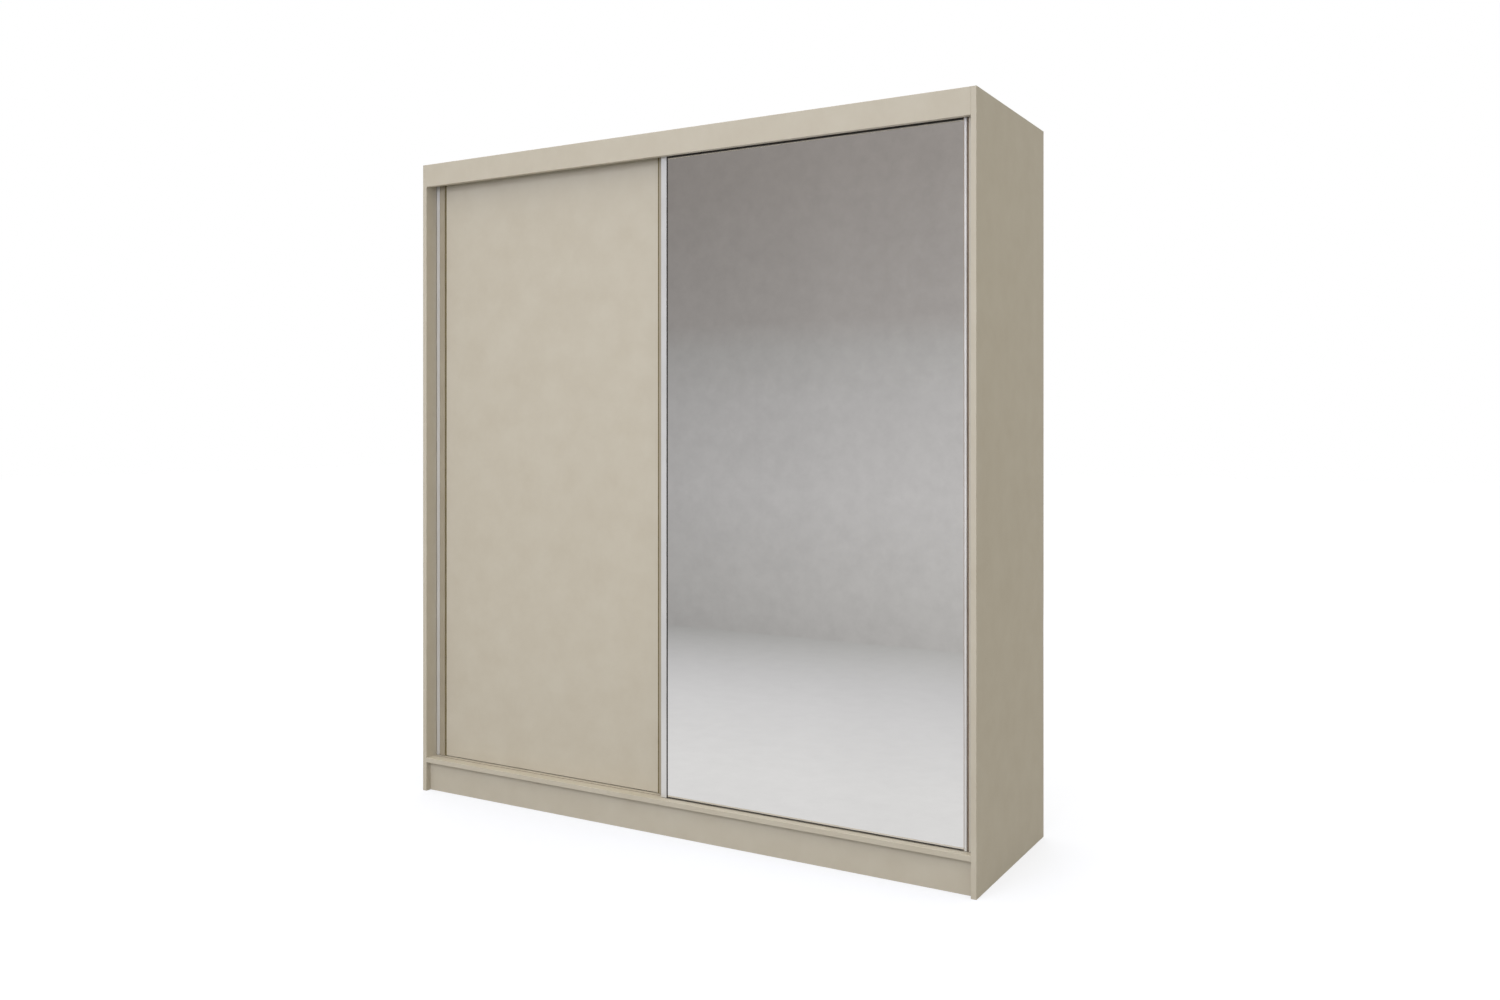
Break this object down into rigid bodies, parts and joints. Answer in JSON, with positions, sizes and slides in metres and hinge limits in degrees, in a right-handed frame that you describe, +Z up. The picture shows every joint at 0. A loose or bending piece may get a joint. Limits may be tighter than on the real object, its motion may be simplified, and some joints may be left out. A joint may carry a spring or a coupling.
{
  "type": "sliding door wardrobe",
  "caption": "Free-standing beige wardrobe with a plain and a mirrored sliding door hung from a top track, with shelves and a hanging rail inside.",
  "frame": {"origin": "on the floor under the middle of the outer box", "axes": "+Z up, +X to the right seen from the front, the doors face -Y"},
  "size_m": [2, 0.6, 2.16],
  "materials": {
    "laminate": "beige melamine laminate, matt",
    "inlay": "beige laminate strip, matt",
    "fibreboard": "thin painted fibreboard",
    "beech": "raw beech dowel",
    "aluminium": "silver anodised, satin",
    "mirror": "silvered float glass",
    "gasket": "dark extruded gasket",
    "olive_gasket": "olive brown extruded gasket",
    "brush": "grey pile strip",
    "zinc_steel": "zinc plated steel",
    "chrome": "chromed steel tube",
    "die_cast": "die cast zinc",
    "nylon": "off-white nylon",
    "shoe_nylon": "dark grey nylon",
    "guide_plastic": "beige plastic channel",
    "stop_rubber": "black rubber"
  },
  "bodies": {
    "carcass": {"side_left": "laminate", "side_right": "laminate", "top_panel": "laminate", "bottom_panel": "laminate", "pelmet": "laminate", "plinth_front": "laminate", "plinth_rear": "laminate", "plinth_centre": "laminate", "centre_partition": "laminate", "back_left": "fibreboard", "back_right": "fibreboard", "cam_locks": "die_cast", "cam_bolts": "zinc_steel", "dowels": "beech", "wall_bracket_left": "zinc_steel", "wall_bracket_right": "zinc_steel", "shelf_left_1": "laminate", "shelf_left_2": "laminate", "shelf_left_3": "laminate", "shelf_left_4": "laminate", "shelf_left_5": "laminate", "shelf_right": "laminate", "shelf_pins": "zinc_steel", "hanging_rail": "chrome", "rail_sockets": "die_cast", "top_track": "aluminium", "track_stops": "stop_rubber", "guide_channel_front": "guide_plastic", "guide_channel_rear": "guide_plastic"},
    "plain_door": {"plain_panel": "laminate", "plain_stile_left": "aluminium", "plain_stile_right": "aluminium", "plain_inlay_left": "inlay", "plain_inlay_right": "inlay", "plain_gaskets": "olive_gasket", "plain_edge_brush": "brush", "plain_hanger_left": "zinc_steel", "plain_hanger_right": "zinc_steel", "plain_axles": "zinc_steel", "plain_guide_shoes": "shoe_nylon"},
    "mirror_door": {"mirror_pane": "mirror", "mirror_board": "laminate", "mirror_stile_left": "aluminium", "mirror_stile_right": "aluminium", "mirror_gaskets": "gasket", "mirror_edge_brush": "brush", "mirror_overlap_brush": "brush", "mirror_hanger_left": "zinc_steel", "mirror_hanger_right": "zinc_steel", "mirror_axles": "zinc_steel", "mirror_guide_shoes": "shoe_nylon"},
    "plain_rollers_left": {"plain_rollers_left": "nylon"},
    "plain_rollers_right": {"plain_rollers_right": "nylon"},
    "mirror_rollers_left": {"mirror_rollers_left": "nylon"},
    "mirror_rollers_right": {"mirror_rollers_right": "nylon"}
  },
  "joints": [
    {"name": "plain_door_slide", "type": "slide", "parent": "carcass", "child": "plain_door", "axis": [1, 0, 0], "range_m": [0, 0.995]},
    {"name": "mirror_door_slide", "type": "slide", "parent": "carcass", "child": "mirror_door", "axis": [-1, 0, 0], "range_m": [0, 0.958]},
    {"name": "plain_rollers_left_spin", "type": "hinge", "parent": "plain_door", "child": "plain_rollers_left", "pos_m": [-0.862, -0.239, 2.12805], "axis": [0, 1, 0], "range_deg": [-5, 5187.7]},
    {"name": "plain_rollers_right_spin", "type": "hinge", "parent": "plain_door", "child": "plain_rollers_right", "pos_m": [-0.133, -0.239, 2.12805], "axis": [0, 1, 0], "range_deg": [-5, 5187.7]},
    {"name": "mirror_rollers_left_spin", "type": "hinge", "parent": "mirror_door", "child": "mirror_rollers_left", "pos_m": [0.096, -0.263, 2.12805], "axis": [0, 1, 0], "range_deg": [-4994.9, 5]},
    {"name": "mirror_rollers_right_spin", "type": "hinge", "parent": "mirror_door", "child": "mirror_rollers_right", "pos_m": [0.857, -0.263, 2.12805], "axis": [0, 1, 0], "range_deg": [-4994.9, 5]}
  ],
  "couplings": [
    {"joint": "plain_rollers_left_spin", "follows": "plain_door_slide", "rad_per_m": 90.909},
    {"joint": "plain_rollers_right_spin", "follows": "plain_door_slide", "rad_per_m": 90.909},
    {"joint": "mirror_rollers_left_spin", "follows": "mirror_door_slide", "rad_per_m": -90.909},
    {"joint": "mirror_rollers_right_spin", "follows": "mirror_door_slide", "rad_per_m": -90.909}
  ]
}
